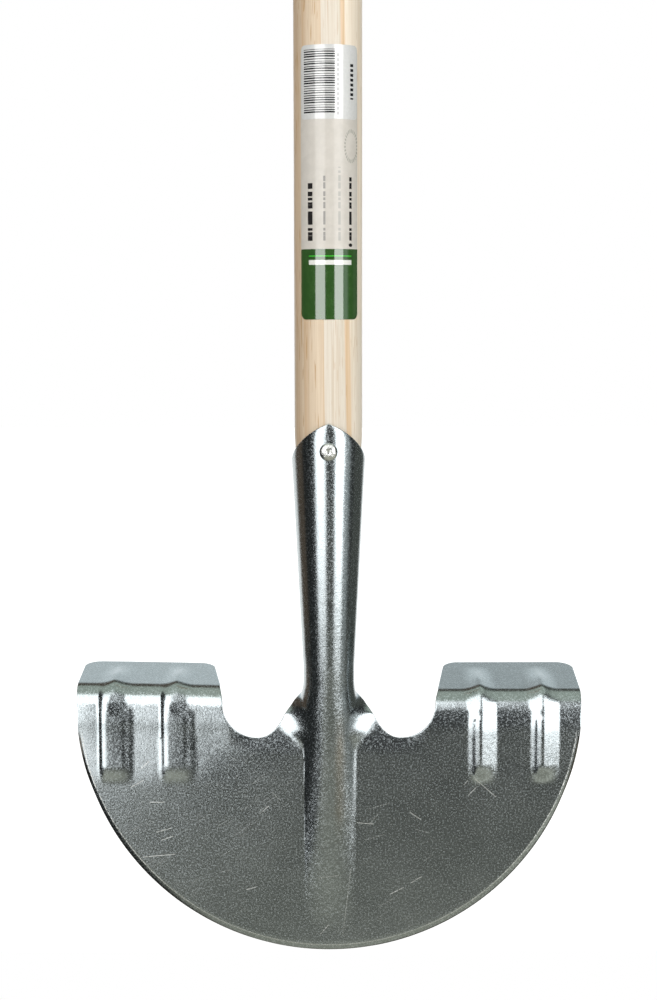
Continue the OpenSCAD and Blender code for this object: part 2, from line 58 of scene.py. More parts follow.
# The studio: two tall soft boxes beside the camera, one above it and a fill lamp behind the tool,
# in a dark room with a white backdrop. The metal shows the boxes, the room and the backdrop.
class Tone:
    """A shader socket that takes plain arithmetic, and makes any other node beside itself."""

    def __init__(self, tree, socket=None):
        self.tree, self.socket = tree, socket

    def node(self, kind, settings=None, sockets=None, out=0):
        """A new node from its type, its settings and the values or links of its sockets."""
        made = self.tree.nodes.new(kind)
        for name, value in (settings or {}).items():
            if name == "stops":
                ramp = made.color_ramp
                while len(ramp.elements) < len(value):
                    ramp.elements.new(1)
                for element, (place, colour) in zip(ramp.elements, value):
                    element.position = place
                    element.color = (*colour, 1)
            else:
                setattr(made, name, value)
        for name, value in (sockets or {}).items():
            if isinstance(value, Tone):
                self.tree.links.new(value.socket, made.inputs[name])
            else:
                made.inputs[name].default_value = value
        return Tone(self.tree, made.outputs[out] if len(made.outputs) else None)

    def outputs(self, *names):
        """Several outputs of the node that this socket belongs to."""
        return [Tone(self.tree, self.socket.node.outputs[name]) for name in names]

    def maths(self, operation, first, second=0.0):
        return self.node("ShaderNodeMath", {"operation": operation}, {0: first, 1: second})

    def __add__(self, other):
        return self.maths("ADD", self, other)

    def __radd__(self, other):
        return self.maths("ADD", other, self)

    def __sub__(self, other):
        return self.maths("SUBTRACT", self, other)

    def __rsub__(self, other):
        return self.maths("SUBTRACT", other, self)

    def __mul__(self, other):
        return self.maths("MULTIPLY", self, other)

    def __rmul__(self, other):
        return self.maths("MULTIPLY", other, self)

    def __truediv__(self, other):
        return self.maths("DIVIDE", self, other)

    def __abs__(self):
        return self.maths("ABSOLUTE", self)

    def vector(self, operation, other=(0, 0, 0)):
        """Vector maths: lengths, distances and dot products come out as values."""
        as_value = operation in ("DISTANCE", "DOT_PRODUCT", "LENGTH")
        return self.node("ShaderNodeVectorMath", {"operation": operation}, {0: self, 1: other}, int(as_value))

    def parts(self):
        """The X, Y and Z of a vector."""
        return self.node("ShaderNodeSeparateXYZ", None, {0: self}).outputs(0, 1, 2)

    def mapped(self, centre=(0, 0, 0), turn=(0, 0, 0), size=(1, 1, 1)):
        """A place in the frame of a pattern that has its own centre, turn (degrees) and size."""
        angles = tuple(radians(angle) for angle in turn)
        return self.node("ShaderNodeMapping", {"vector_type": "TEXTURE"}, {
            "Vector": self, "Location": centre, "Rotation": angles, "Scale": size})

    def noise(self, scale, detail=0.0, roughness=0.5, along=1.0):
        """Noise with about scale spots to the metre, drawn out along Z where along is under 1."""
        place = self if along == 1.0 else self.vector("MULTIPLY", (1, 1, along))
        return self.node("ShaderNodeTexNoise", None, {
            "Vector": place, "Scale": scale, "Detail": detail, "Roughness": roughness})

    def between(self, low, high, start=0.0, end=1.0):
        """A smooth step from start to end, while this value goes from low to high."""
        return self.node("ShaderNodeMapRange", {"interpolation_type": "SMOOTHSTEP"}, {
            "Value": self, "From Min": low, "From Max": high, "To Min": start, "To Max": end})

    def inside(self, low, high, soft):
        """1 from low to high and 0 elsewhere, with soft ends."""
        return self.between(low - soft, low + soft) * self.between(high - soft, high + soft, 1.0, 0.0)

    def blend(self, first, second):
        """The first colour where this value is 0, and the second where it is 1."""
        return self.node("ShaderNodeMix", {"data_type": "RGBA"}, {0: self, 6: first, 7: second}, out=2)

    def bump(self):
        """A normal that follows this height (mm)."""
        return self.node("ShaderNodeBump", None, {"Strength": 1.0, "Distance": 0.001, "Height": self})

    def surface(self, sockets):
        """The material's own shader, with its output."""
        shader = self.node("ShaderNodeBsdfPrincipled", None, sockets)
        self.node("ShaderNodeOutputMaterial", None, {"Surface": shader})


world = bpy.data.worlds.new("studio")
bpy.context.scene.world = world
world.use_nodes = True
world.node_tree.nodes.clear()
room = Tone(world.node_tree)

# What the metal sees by direction, with X to the right, Y away from the camera and Z up: dark walls,
# a pale table in front of the tool, a card at the right, the ceiling and the backdrop
aim_x, aim_y, aim_z = room.node("ShaderNodeTexCoord").parts()
dark_room, warm_wall, cool_wall = (0.024, 0.026, 0.026, 1), (0.13, 0.10, 0.075, 1), (0.11, 0.117, 0.104, 1)
shown = aim_y.between(-0.02, 0.1).blend(dark_room, aim_x.between(-0.3, 0.3).blend(warm_wall, cool_wall))
table = aim_y.between(0.1, 0.3, 1.0, 0.0) * aim_x.between(-0.50, -0.28)
for band, colour in (
        (aim_z.between(-0.34, -0.20, 1.0, 0.0), (0.205, 0.207, 0.180, 1)),
        (aim_z.between(-0.50, -0.32, 1.0, 0.0), (0.43, 0.43, 0.36, 1)),
        (aim_z.inside(-0.62, -0.48, 0.06), (0.67, 0.67, 0.575, 1))):
    shown = (band * table).blend(shown, colour)
card = aim_x.inside(0.79, 0.93, 0.04) * aim_y.between(-0.05, 0.05, 1.0, 0.0)
shown = (card * aim_z.inside(-0.27, 0.30, 0.05)).blend(shown, (0.56, 0.60, 0.60, 1))
ceiling = aim_z.between(0.74, 0.84) * aim_y.between(0.28, 0.40, 1.0, 0.0)
shown = ceiling.blend(shown, (0.60, 0.665, 0.585, 1))
backdrop = aim_y.between(0.60, 0.80) * aim_z.between(0.40, 0.96, 1.0, 0.0)
backdrop_white = aim_z.between(0.05, 0.35).blend((1.15, 1.22, 1.26, 1), (0.86, 0.94, 0.96, 1))
shown = backdrop.blend(shown, backdrop_white)
camera_ray = room.node("ShaderNodeLightPath")
shown = camera_ray.blend(shown, (1, 1, 1, 1))
sky = room.node("ShaderNodeBackground", None, {"Color": shown, "Strength": 1.0})
room.node("ShaderNodeOutputWorld", None, {"Surface": sky})


def new_finish(name):
    """An empty material, its node tree, and the place on the piece that its patterns read."""
    finish = bpy.data.materials.new(name)
    finish.use_nodes = True
    finish.node_tree.nodes.clear()
    tree = Tone(finish.node_tree)
    return finish, tree, tree.node("ShaderNodeTexCoord", None, None, out=3)


# White paper lies on the floor from the blade backwards
floor_width, floor_front, floor_back, floor_level = 6.0, axis_y - 0.003, 3.5, -0.0004
bpy.ops.mesh.primitive_plane_add(size=1, location=(0, 0, 0))
floor = bpy.context.object
floor.name = "floor"
for corner in floor.data.vertices:
    corner.co = (corner.co.x * floor_width, floor_front if corner.co.y < 0 else floor_back, floor_level)
paper, roll, spot = new_finish("white_paper")
paper_white = spot.vector("LENGTH").between(0.1, 0.7).blend((0.84, 0.84, 0.84, 1), (1, 1, 1, 1))
lit = roll.node("ShaderNodeBsdfDiffuse", None, {"Color": (0.45, 0.45, 0.45, 1)})
glow = roll.node("ShaderNodeEmission", None, {"Color": paper_white, "Strength": 1.0})
bright = roll.node("ShaderNodeAddShader", None, {0: lit, 1: glow})
camera_ray, glossy_ray, clear_ray = roll.node("ShaderNodeLightPath").outputs(
    "Is Camera Ray", "Is Glossy Ray", "Is Transmission Ray")
shows_white = roll.maths("MAXIMUM", camera_ray, roll.maths("MAXIMUM", glossy_ray, clear_ray))
paper_look = roll.node("ShaderNodeMixShader", None, {0: shows_white, 1: lit, 2: bright})

# In the metal the paper shows white behind the tool, further out on the left, and dark beside that
floor_x, floor_y, _ = spot.parts()
reach = floor_x.between(-0.001, 0.001, 1.8, 1.0)
beside = (abs(floor_x) / (floor_y - axis_y + 0.03) / reach).between(0.58, 0.80)
wall_colour = floor_x.between(-0.1, 0.1).blend(warm_wall, cool_wall)
dark_side = roll.node("ShaderNodeEmission", None, {"Color": wall_colour, "Strength": 1.0})
paper_look = roll.node("ShaderNodeMixShader", None, {0: glossy_ray * beside, 1: paper_look, 2: dark_side})
roll.node("ShaderNodeOutputMaterial", None, {"Surface": paper_look})
floor.data.materials.append(paper)


def soft_box(name, centre, aim_at, width, height, radiance):
    """A rectangular lamp that faces a point, set by how bright its face looks."""
    bpy.ops.object.light_add(type="AREA", location=centre)
    lamp = bpy.context.object
    lamp.name = name
    lamp.data.shape = "RECTANGLE"
    lamp.data.size, lamp.data.size_y = width, height
    lamp.data.energy = radiance * pi * width * height
    across, ahead, up = (target - own for target, own in zip(aim_at, centre))
    lamp.rotation_euler = (pi / 2 + atan2(up, hypot(across, ahead)), 0, -atan2(across, ahead))
    return lamp


def ring_place(azimuth, distance, height):
    """A place round the tool: 0 is towards the camera, and positive goes to the right."""
    return (distance * sin(radians(azimuth)), axis_y - distance * cos(radians(azimuth)), height)


left_height, right_height, box_distance = 0.4225, 0.665, 1.6
left_place = ring_place(-26.4, box_distance, left_height)
right_place = ring_place(36.2, box_distance, right_height)
soft_box("left_soft_box", left_place, (0, axis_y, left_height), width=0.94, height=1.455, radiance=3.0)
soft_box("right_soft_box", right_place, (0, axis_y, right_height), width=0.87, height=1.93, radiance=3.5)
soft_box("top_soft_box", (-0.4, axis_y - 1.15, 1.15), (0, axis_y, 0.11), width=1.2, height=0.86, radiance=2.5)
fill = soft_box("back_fill", (0.2, axis_y + 2.0, 1.0), (0, axis_y, 0.5), width=1.4, height=1.4, radiance=2.7)
fill.visible_camera = fill.visible_glossy = False


# The blade, treads and socket: one galvanised steel sheet, cut out flat and then pressed, folded
# back into treads and rolled into a socket that is open along its back. Sizes are in mm, with
# heights from the lowest point of the cutting edge and depths from the shaft's axis.
blade_radius, sheet, face_depth = 106.0, 1.5, -4.0
bend_line = blade_radius + 1.4
tread_depth, tread_width, fold_length = 36.0, 61.0, 22.0
corner_radius, fold_draw, tread_draw, notch_radius = 7.0, 1.4, 3.2, 14.7
ridge_half, ridge_toe, ridge_lead = 10.5, 8.0, 0.15
neck_line = bend_line + 15.6
neck_radius, mouth_radius, socket_length = 10.8, 16.1, 103.0
tip = neck_line + socket_length
seam_line, seam_gap = neck_line + 22.0, 1.6
mouth_drop, mouth_dip, mouth_skew = 24.0, 4.0, 0.6
waist_half, waist_rise, wing_radius = 20.0, 15.0, 29.0
notch_line = bend_line - notch_radius
waist_line = notch_line + waist_rise
tread_inner = blade_radius - tread_width
notch_side = tread_inner - notch_radius

# The sheet lies back beside the ridge, which has a sharp left foot and a wider, rounded right one
setback, setback_line, setback_rise, setback_width = 2.0, notch_line - 6.7, 13.0, 12.0
left_fillet, right_fillet, top_fillet = 0.003, 0.22, 0.05
right_wider, fade_line, fade_rise = 1.8, 88.0, 14.0

# Above the notches' foot the ridge becomes the socket. Its crown, its fillets and its angle change
# from these heights on, and the sheet closes in three stages (share of the turn, start, rise)
crown_start, crown_rise = 7.3, 17.0
wing_start, wing_rise = -5.5, 10.5
open_angle, wrap_start, wrap_rise = 37.0, 9.0, 7.0
wrap_stages = ((0.18, 0.0, 18.0), (0.45, 14.4, 8.5), (0.37, 19.3, 33.0))


def mix(first, second, share):
    return first + (second - first) * share


def ease(share):
    share = min(1.0, max(0.0, share))
    return share * share * (3 - 2 * share)


def socket_radius(z):
    return mix(neck_radius, mouth_radius, (z - neck_line) / socket_length)


def ridge_height(z):
    """How far the ridge stands out: it grows from its toe and meets the socket at the neck."""
    share = (z - ridge_toe) / (neck_line - ridge_toe)
    if share <= 0:
        return 0.0
    return (neck_radius + face_depth) * share * share / (share + ridge_lead) * (1 + ridge_lead)


def recede(z):
    """How far the sheet lies back beside the ridge as it rises to the notches."""
    return setback * (max(0.0, min(z, neck_line) - setback_line) / setback_rise) ** 2


def ridge_foot(z, side):
    """Half width of the ridge, and the share of its curve that is the fillet at its foot."""
    if side < 0:
        return ridge_half, left_fillet
    fade = ease((z - fade_line) / fade_rise)
    return mix(ridge_half + right_wider, ridge_half, fade), mix(right_fillet, top_fillet, fade)


def level_cut(z, side):
    """Crest, crown radius, fillet radius and steepest angle of a level cut through the middle."""
    closed_angle = pi - seam_gap / 2 / socket_radius(max(z, seam_line))
    if z >= seam_line:
        return -socket_radius(z), socket_radius(z), wing_radius, closed_angle
    up, height = z - notch_line, ridge_height(min(z, notch_line))
    if height <= 1e-9:
        return face_depth, 0.0, 0.0, 0.0
    half, rounded = ridge_foot(z, side)
    both = half / sin(2 * atan(height / half))
    tube = socket_radius(max(z, neck_line))
    crown = mix(both * (1 - rounded), tube, ease((up - crown_start) / crown_rise))
    fillet = mix(both * rounded, wing_radius, ease((up - wing_start) / wing_rise))
    crest = face_depth - ridge_height(z) if z < neck_line else -tube
    angle = acos(max(-0.99, 1 - (face_depth + recede(z) - crest) / (crown + fillet)))
    turn = sum(share * ease((up - start) / rise) for share, start, rise in wrap_stages)
    wrapped_angle = mix(radians(open_angle), closed_angle, turn)
    return crest, crown, fillet, mix(angle, wrapped_angle, ease((up - wrap_start) / wrap_rise))


def along_cut(cut, run):
    """X and Y of a point on a level cut, by its run from the crest along the sheet."""
    crest, crown, fillet, angle = cut
    if crown and run <= crown * angle:
        return crown * sin(run / crown), crest + crown * (1 - cos(run / crown))
    if fillet and run <= (crown + fillet) * angle:
        left = angle - (run - crown * angle) / fillet
        return (crown * sin(angle) + fillet * (sin(angle) - sin(left)),
                crest + crown * (1 - cos(angle)) + fillet * (cos(left) - cos(angle)))
    return ((crown + fillet) * sin(angle) + run - (crown + fillet) * angle,
            crest + (crown + fillet) * (1 - cos(angle)))


def notch_run(z, side):
    """Run along the sheet from the crest to the notch's side."""
    _, crown, fillet, angle = level_cut(z, side)
    return (crown + fillet) * (angle - sin(angle)) + notch_side


def edge_run(z, side):
    """Run along the sheet from the crest to its cut edge, from the notches up to the mouth."""
    if z < waist_line:
        below, full = (waist_line - z) / waist_rise, notch_run(notch_line, side)
        return full - (full - waist_half) * sqrt(max(0.0, 1 - below * below))
    closed = socket_radius(max(z, seam_line)) * pi - seam_gap / 2
    return mix(waist_half, closed, ease((z - waist_line) / (seam_line - waist_line)))


def tread_section(slope, back_height):
    """The section of a tread: how far it lies back, its height and its turn, step by step.
    The fold tightens steadily as it rises, and the tread runs straight on from it."""
    turn_end, step = radians(90 - slope), 0.05
    places = [(0.0, 0.0, 0.0)]
    while (len(places) - 1) * step < fold_length:
        back, up, _ = places[-1]
        turn = turn_end * min(1.0, ((len(places) - 0.5) * step / fold_length) ** 2)
        places.append((back + sin(turn) * step, up + cos(turn) * step, turn))
    flat = (tread_depth - places[-1][0]) / sin(turn_end)
    start = back_height - flat * cos(turn_end) - places[-1][1]
    return {"start": start, "step": step, "places": places, "flat": flat, "turn": turn_end}


def along_section(section, place):
    """How far back, how high and how far turned the sheet is at a place along a tread's section."""
    start, turn_end = section["start"], section["turn"]
    if place <= 0:
        return 0.0, start + place, 0.0
    if place >= fold_length:
        back, up, _ = section["places"][-1]
        over = place - fold_length
        return back + sin(turn_end) * over, start + up + cos(turn_end) * over, turn_end
    step = min(int(place / section["step"]), len(section["places"]) - 2)
    before, after = section["places"][step:step + 2]
    share = place / section["step"] - step
    back, up, turn = (mix(low, high, share) for low, high in zip(before, after))
    return back, start + up, turn


def place_at_height(section, z):
    """The place along a tread's section, before or in its fold, that has a height."""
    up = z - section["start"]
    if up <= 0:
        return up
    low, high = 0, len(section["places"]) - 1
    while high - low > 1:
        middle = (low + high) // 2
        low, high = (middle, high) if section["places"][middle][1] <= up else (low, middle)
    first, second = section["places"][low][1], section["places"][high][1]
    return (low + (up - first) / (second - first)) * section["step"]


# The ribs start on the blade, take a second shape in the fold and end in a point on the tread
rib_foot, rib_reach, rib_lead_in, rib_run_out = 72.8, 23.0, 8.0, 19.0
rib_fold, rib_fold_rise = 5.5, 3.5
rib_point, rib_point_rise, rib_point_half = 13.0, 8.0, 7.2
steps_per_mm = 20


def rib_heights(slopes):
    """Heights across a rib, added up from its slopes (offset from the crest in mm, degrees)."""
    rise, heights = 0.0, []
    steps = round((slopes[-1][0] - slopes[0][0]) * steps_per_mm)
    for step in range(steps + 1):
        off = slopes[0][0] + step / steps_per_mm
        heights.append(rise)
        start, end = next(pair for pair in zip(slopes, slopes[1:]) if off <= pair[1][0] + 0.001)
        slope = mix(start[1], end[1], (off - start[0]) / (end[0] - start[0]))
        rise += tan(radians(slope)) / steps_per_mm
    return slopes[0][0], [height - heights[-1] * step / steps for step, height in enumerate(heights)]


def rib_rise(section, x, place):
    """Height of a tread's ribs at a place: they run out on the blade and on the tread."""
    across = pointed = 0.0
    folded = ease((place - rib_fold) / rib_fold_rise)
    for crest in section["ribs"]:
        for (first, heights), share in ((section["on_blade"], 1 - folded), (section["in_fold"], folded)):
            step = (x - crest - first) * steps_per_mm
            if 0 <= step < len(heights) - 1:
                across += share * mix(heights[int(step)], heights[int(step) + 1], step - int(step))
        pointed += section["peak"] * max(0.0, 1 - hypot(x - crest, 1) / rib_point_half) ** 1.5
    across = mix(across, pointed, ease((place - rib_point) / rib_point_rise))
    start = ease((place - place_at_height(section, rib_foot)) / rib_lead_in)
    return across * start * ease((fold_length + rib_reach - place) / rib_run_out)


# The right tread came off the press a little lower and steeper than the left one, which leans
left_section = tread_section(slope=7.7, back_height=118.0) | {
    "side": -1, "ribs": (-90.7, -64.8), "peak": 2.0, "lean": -0.019, "bow": 1.1,
    "on_blade": rib_heights((
        (-6.7, 0), (-6.2, 22), (-5.8, 28), (-5.2, 28), (-4.7, 15), (-3.4, 2), (-2.4, 0), (0, -0.5),
        (3.6, -1.2), (4.4, -11.5), (6.8, -11.5), (8.0, 0))),
    "in_fold": rib_heights((
        (-6.8, 0), (-6.4, 20), (-6.0, 25), (-5.2, 25), (-4.7, 17.5), (-2.8, 2), (-2.4, 0), (-1.4, -8),
        (4.2, -10), (5.6, 0)))}
right_section = tread_section(slope=12.0, back_height=117.9) | {
    "side": 1, "ribs": (64.0, 90.0), "peak": 2.7, "lean": 0.0, "bow": 0.0,
    "on_blade": rib_heights((
        (-5.9, 0), (-5.2, 12), (-3.8, 20), (-3.1, 36), (-2.8, 36), (-2.2, 20), (-0.6, 10), (0, 0),
        (0.4, -5), (1.1, -13), (5.9, -16.5), (7.1, 0))),
    "in_fold": rib_heights((
        (-5.9, 0), (-5.2, 10), (-3.8, 14), (-2.2, 14), (-0.6, 8), (0, 0), (0.4, -4), (1.1, -9),
        (6.2, -10.5), (7.4, 0)))}

# Rows of the blank: five along the ground edge, the plain blade, and then the socket in the
# middle and the notch, the fold and the tread at each side
ground_rows, plain_rows, notch_rows, neck_rows, tube_rows, fold_rows = 5, 48, 20, 42, 26, 34
low_rows = ground_rows + plain_rows
high_rows = notch_rows + neck_rows + tube_rows
rows = low_rows + high_rows
tread_rows = high_rows - notch_rows - fold_rows

# The ground edge narrows over some degrees of the half circle and runs out at its ends. Each of its
# rows has its share of the width and how far the stone took the face back there
ground_width, ground_narrow = 2.4, 1.0
narrow_by, narrow_over, gone_by, gone_over = 84.0, 40.0, 86.0, 8.0
ground_shares, ground_offs = (0, 0.14, 0.5, 0.9, 1.0, 1.1), (1.2, 0.774, 0.45, 0.09, 0.02, 0)


def ground(x):
    """Width of the ground edge."""
    angle = degrees(asin(min(1.0, abs(x) / blade_radius)))
    width = mix(ground_narrow, ground_width, ease((narrow_by - angle) / narrow_over))
    return width * ease((gone_by - angle) / gone_over)


def low_point(x, top, row):
    """X and height of a point of the plain blade, with the ground edge in its first rows."""
    width = ground(x)
    inner = blade_radius - width * ground_shares[-1]
    x = min(x, inner)
    low = blade_radius - sqrt(inner * inner - x * x)
    if row >= ground_rows:
        return x, mix(low, top, (row - ground_rows) / plain_rows)
    scale = (blade_radius - width * ground_shares[row]) / inner
    return x * scale, blade_radius - (blade_radius - low) * scale


def middle_place(row, share, side):
    """A point of the ridge, the neck or the socket, by its row and its share of the way out."""
    if row <= low_rows:
        x, z = low_point(share * notch_side, notch_line, row)
        cut = level_cut(z, side)
        if cut[3] == 0:
            return x, face_depth, z
        return (*along_cut(cut, share * notch_run(z, side)), z)
    step = row - low_rows
    if step <= notch_rows:
        z = waist_line - waist_rise * cos(pi / 2 * step / notch_rows)
    elif step <= notch_rows + neck_rows:
        z = mix(waist_line, seam_line, (step - notch_rows) / neck_rows)
    else:
        fall = mouth_drop * (1 - cos(pi * share)) / 2 + mouth_dip * sin(pi * share)
        rim = tip - fall - mouth_skew * sin(2 * pi * share)
        z = mix(seam_line, rim, (step - notch_rows - neck_rows) / tube_rows)
    return (*along_cut(level_cut(z, side), share * edge_run(z, side)), z)


def corner_loss(distance):
    """How much a tread's round corner takes off its length, by the distance from its side."""
    if distance >= corner_radius:
        return 0.0
    return corner_radius - sqrt(max(0.0, corner_radius ** 2 - (corner_radius - distance) ** 2))


# The sides' columns stand closer at the rim and at the ribs
rim_gap, rim_crowding, rib_crowding, rib_pitch, rib_middle = 0.04, 0.6, 1.9, 26.0, 64.4
rib_zone, rib_zone_in, rib_zone_end, rib_zone_out = 50.0, 6.0, 105.0, 7.0
inner_zone = tread_inner + 30.0
split_below, fold_over = 0.7, 0.5

# Small forms of the pressed sides: the ends flare, a tread leans and the blade's side bows back
flare_from, flare_line, flare_rise, blade_flare = 60.0, 66.0, 16.0, 0.5
flare_fold, flare_fold_length, fold_flare = 8.0, 12.0, 0.35
lean_centre, lean_start, lean_length = 75.0, -2.0, 18.0
bow_line, bow_rise, bow_spread, bow_back, bow_back_from, bow_back_over = 72.0, 26.0, 0.38, 0.35, 0.68, 0.3


def outward(x):
    """Share of the way from the notch's side to the rim."""
    return (x - notch_side) / (blade_radius - notch_side)


def column_place(share):
    """X of a column of a side's blank."""
    outer = blade_radius - rim_gap
    crowded = outer * sin(mix(asin(notch_side / outer), pi / 2, share))
    x = mix(mix(notch_side, outer, share), crowded, rim_crowding)
    near_ribs = ease((x - rib_zone) / rib_zone_in) * ease((rib_zone_end - x) / rib_zone_out)
    return x - rib_crowding * sin(2 * pi * (x - rib_middle) / rib_pitch) * near_ribs


def inner_edge(step):
    """X of the notch's side and of the tread's inner edge, by the row above the plain blade."""
    inner = notch_side + notch_radius * sin(pi / 2 * min(1.0, step / notch_rows))
    inner += fold_draw * ease((step - notch_rows) / fold_rows)
    return inner + tread_draw * max(0.0, (step - notch_rows - fold_rows) / tread_rows)


def side_place(section, row, share):
    """A point of the blade's side, the fold or the tread, by its row and its share of the way out."""
    x = column_place(share)
    split = mix(notch_line, bend_line - split_below, outward(x) ** 6)
    step = row - low_rows
    if step <= 0:
        x, z = low_point(x, split, row)
        place = place_at_height(section, z)
    else:
        inner = inner_edge(step)
        if x < inner_zone:
            x = mix(inner, inner_zone, (x - notch_side) / (inner_zone - notch_side))
        fold_end, past_notch = fold_length + fold_over, step - notch_rows
        if step <= notch_rows:
            z = mix(bend_line, split, cos(pi / 2 * step / notch_rows))
            place = place_at_height(section, z)
        elif past_notch <= fold_rows:
            place = mix(place_at_height(section, bend_line), fold_end, past_notch / fold_rows)
        else:
            lost = corner_loss(x - inner) + corner_loss(blade_radius - x)
            back_edge = fold_length + section["flat"] - lost
            place = mix(fold_end, back_edge, (past_notch - fold_rows) / tread_rows)
    back, z, turn = along_section(section, place)
    rise = rib_rise(section, section["side"] * x, place)
    flare = blade_flare * ease((z - flare_line) / flare_rise)
    flare += fold_flare * ease((place - flare_fold) / flare_fold_length)
    flare *= (max(0.0, x - flare_from) / (blade_radius - flare_from)) ** 2
    lean = section["lean"] * section["side"] * (x - lean_centre) * ease((place - lean_start) / lean_length)
    bow = 1 - exp(-(max(0.0, outward(x)) / bow_spread) ** 1.5)
    bow *= 1 - bow_back * ease((outward(x) - bow_back_from) / bow_back_over)
    back += section["bow"] * bow * ease((z - bow_line) / bow_rise)
    back += recede(z) * ease(1 - (x - notch_side) / setback_width)
    return section["side"] * (x + flare), face_depth + back - rise * cos(turn), z + rise * sin(turn) + lean


def press(name, columns, shape):
    """Presses a flat gridded blank: each of its points goes to its place on the formed sheet."""
    bpy.ops.mesh.primitive_grid_add(x_subdivisions=columns, y_subdivisions=rows, size=2)
    blank = bpy.context.object
    blank.name = name
    ground_off = blank.data.attributes.new("ground_off", "FLOAT", "POINT")
    for point in blank.data.vertices:
        row = round((point.co.y + 1) / 2 * rows)
        x, y, z = shape(row, round((point.co.x + 1) / 2 * columns) / columns)
        point.co = (x / 1000, axis_y + y / 1000, z / 1000)
        ground_off.data[point.index].value = ground_offs[min(row, ground_rows)] * ground(x) / ground_width
    return blank


# The middle's columns stand closest at the ridge's feet
half_columns, side_columns = 56, 104
foot_share, foot_crowding, foot_spread = 0.43, 0.72, 0.012
column_steps = [1 - foot_crowding * exp(-((column + 0.5) / half_columns - foot_share) ** 2 / foot_spread)
                for column in range(half_columns)]
column_shares = [sum(column_steps[:column]) / sum(column_steps) for column in range(half_columns + 1)]


def middle_shape(row, across):
    """A point of the middle strip, by its row and its share of the way from left to right."""
    side = 1 if across > 0.5 else -1
    x, y, z = middle_place(row, column_shares[round(abs(2 * across - 1) * half_columns)], side)
    return side * x, y, z


strips = [
    press("blade_middle", 2 * half_columns, middle_shape),
    press("blade_right", side_columns, lambda row, across: side_place(right_section, row, across)),
    press("blade_left", side_columns, lambda row, across: side_place(left_section, row, 1 - across)),
]
for strip in strips:
    strip.select_set(True)
bpy.context.view_layer.objects.active = strips[0]
bpy.ops.object.join()
blade = bpy.context.object
blade.name = blade.data.name = "blade_pressing"
bpy.ops.object.transform_apply(location=True, rotation=True, scale=True)
bpy.ops.object.mode_set(mode="EDIT")
bpy.ops.mesh.select_all(action="SELECT")
bpy.ops.mesh.remove_doubles(threshold=0.000005)
bpy.ops.object.mode_set(mode="OBJECT")
front_points = len(blade.data.vertices)

wall = blade.modifiers.new("sheet", "SOLIDIFY")
wall.thickness, wall.offset = sheet / 1000, -1
bpy.ops.object.modifier_apply(modifier=wall.name)
for point in blade.data.vertices[:front_points]:
    point.co.y += blade.data.attributes["ground_off"].data[point.index].value / 1000
blade.data.attributes.remove(blade.data.attributes["ground_off"])


def pick_edges(piece, sharpness, chosen):
    """Selects edges that are sharper than an angle (degrees), where both their ends pass a test."""
    bpy.ops.object.mode_set(mode="EDIT")
    bpy.ops.mesh.select_all(action="DESELECT")
    bpy.ops.mesh.select_mode(type="EDGE")
    bpy.ops.mesh.edges_select_sharp(sharpness=radians(sharpness))
    bpy.ops.object.mode_set(mode="OBJECT")
    for edge in piece.data.edges:
        if edge.select:
            edge.select = all(chosen(piece.data.vertices[end].co * 1000) for end in edge.vertices)
    bpy.ops.object.mode_set(mode="EDIT")


# The cut edges are a little rounded, apart from the ground one
edge_round, ground_top, ground_zone = 0.26, blade_radius + 0.5, blade_radius - 4.0


def off_ground_edge(end):
    return end.z >= ground_top or hypot(end.x, end.z - blade_radius) <= ground_zone


pick_edges(blade, 58, off_ground_edge)
bpy.ops.mesh.bevel(offset=edge_round / 1000, segments=3, affect="EDGES")
bpy.ops.object.mode_set(mode="OBJECT")
bpy.ops.object.shade_smooth_by_angle(angle=radians(40))

# The ridge's left foot is struck sharper than its right one
foot_left, foot_right, foot_low, foot_high = -14.2, -8.5, 12.0, 87.0


def on_left_foot(end):
    return foot_left < end.x < foot_right and foot_low < end.z < foot_high


pick_edges(blade, 7, on_left_foot)
bpy.ops.mesh.mark_sharp()
bpy.ops.object.mode_set(mode="OBJECT")

zinc, skin, place = new_finish("galvanised_sheet")
pits = place.noise(1600, 2, 0.65)
speckle = place.noise(1400, 2, 0.7)
grains = place.noise(420, 2, 0.6)
waves = place.noise(55, 1)
clouds = place.noise(28, 3, 0.6)
streaks = place.mapped(size=(0.03, 0.03, 0.0009)).noise(1, 2, 0.6)

# Scuffs from handling: short hairlines that lie in patches, and longer single ones, some bold and
# some faint (X and height of both ends, mm)
patches = place.noise(42, 1)
scuffs = None
for angle, length, shift in ((-32, 0.009, 0.0), (24, 0.007, 0.31), (-64, 0.006, 0.57)):
    lines = place.mapped((shift, shift, shift), (0, angle, 0), (length, length, 0.00045)).noise(1)
    layer = lines.between(0.745, 0.80) * 0.26 * patches.between(0.50 + shift / 10, 0.60 + shift / 10)
    scuffs = layer if scuffs is None else skin.maths("MAXIMUM", scuffs, layer)
bold = (
    (-29.1, 60.3, -25.7, 63.3), (-73.2, 52.1, -67.2, 53.8), (-71.1, 48.6, -66.4, 50.3),
    (-79.4, 79.8, -76.3, 82.6), (-76.1, 65.1, -70.1, 65.1), (-79.0, 41.2, -65.2, 42.5),
    (-83.9, 71.6, -78.6, 74.6), (-35.3, 26.9, -31.4, 28.0), (-3.7, 7.4, -0.3, 11.4),
    (25.9, 24.8, 31.5, 27.6), (34.9, 29.8, 39.2, 32.4), (34.3, 60.5, 38.8, 57.4),
    (11.9, 56.0, 18.7, 55.5), (57.1, 72.4, 58.5, 74.2), (58.8, 67.7, 62.5, 71.6), (61.7, 75.0, 70.5, 67.2))
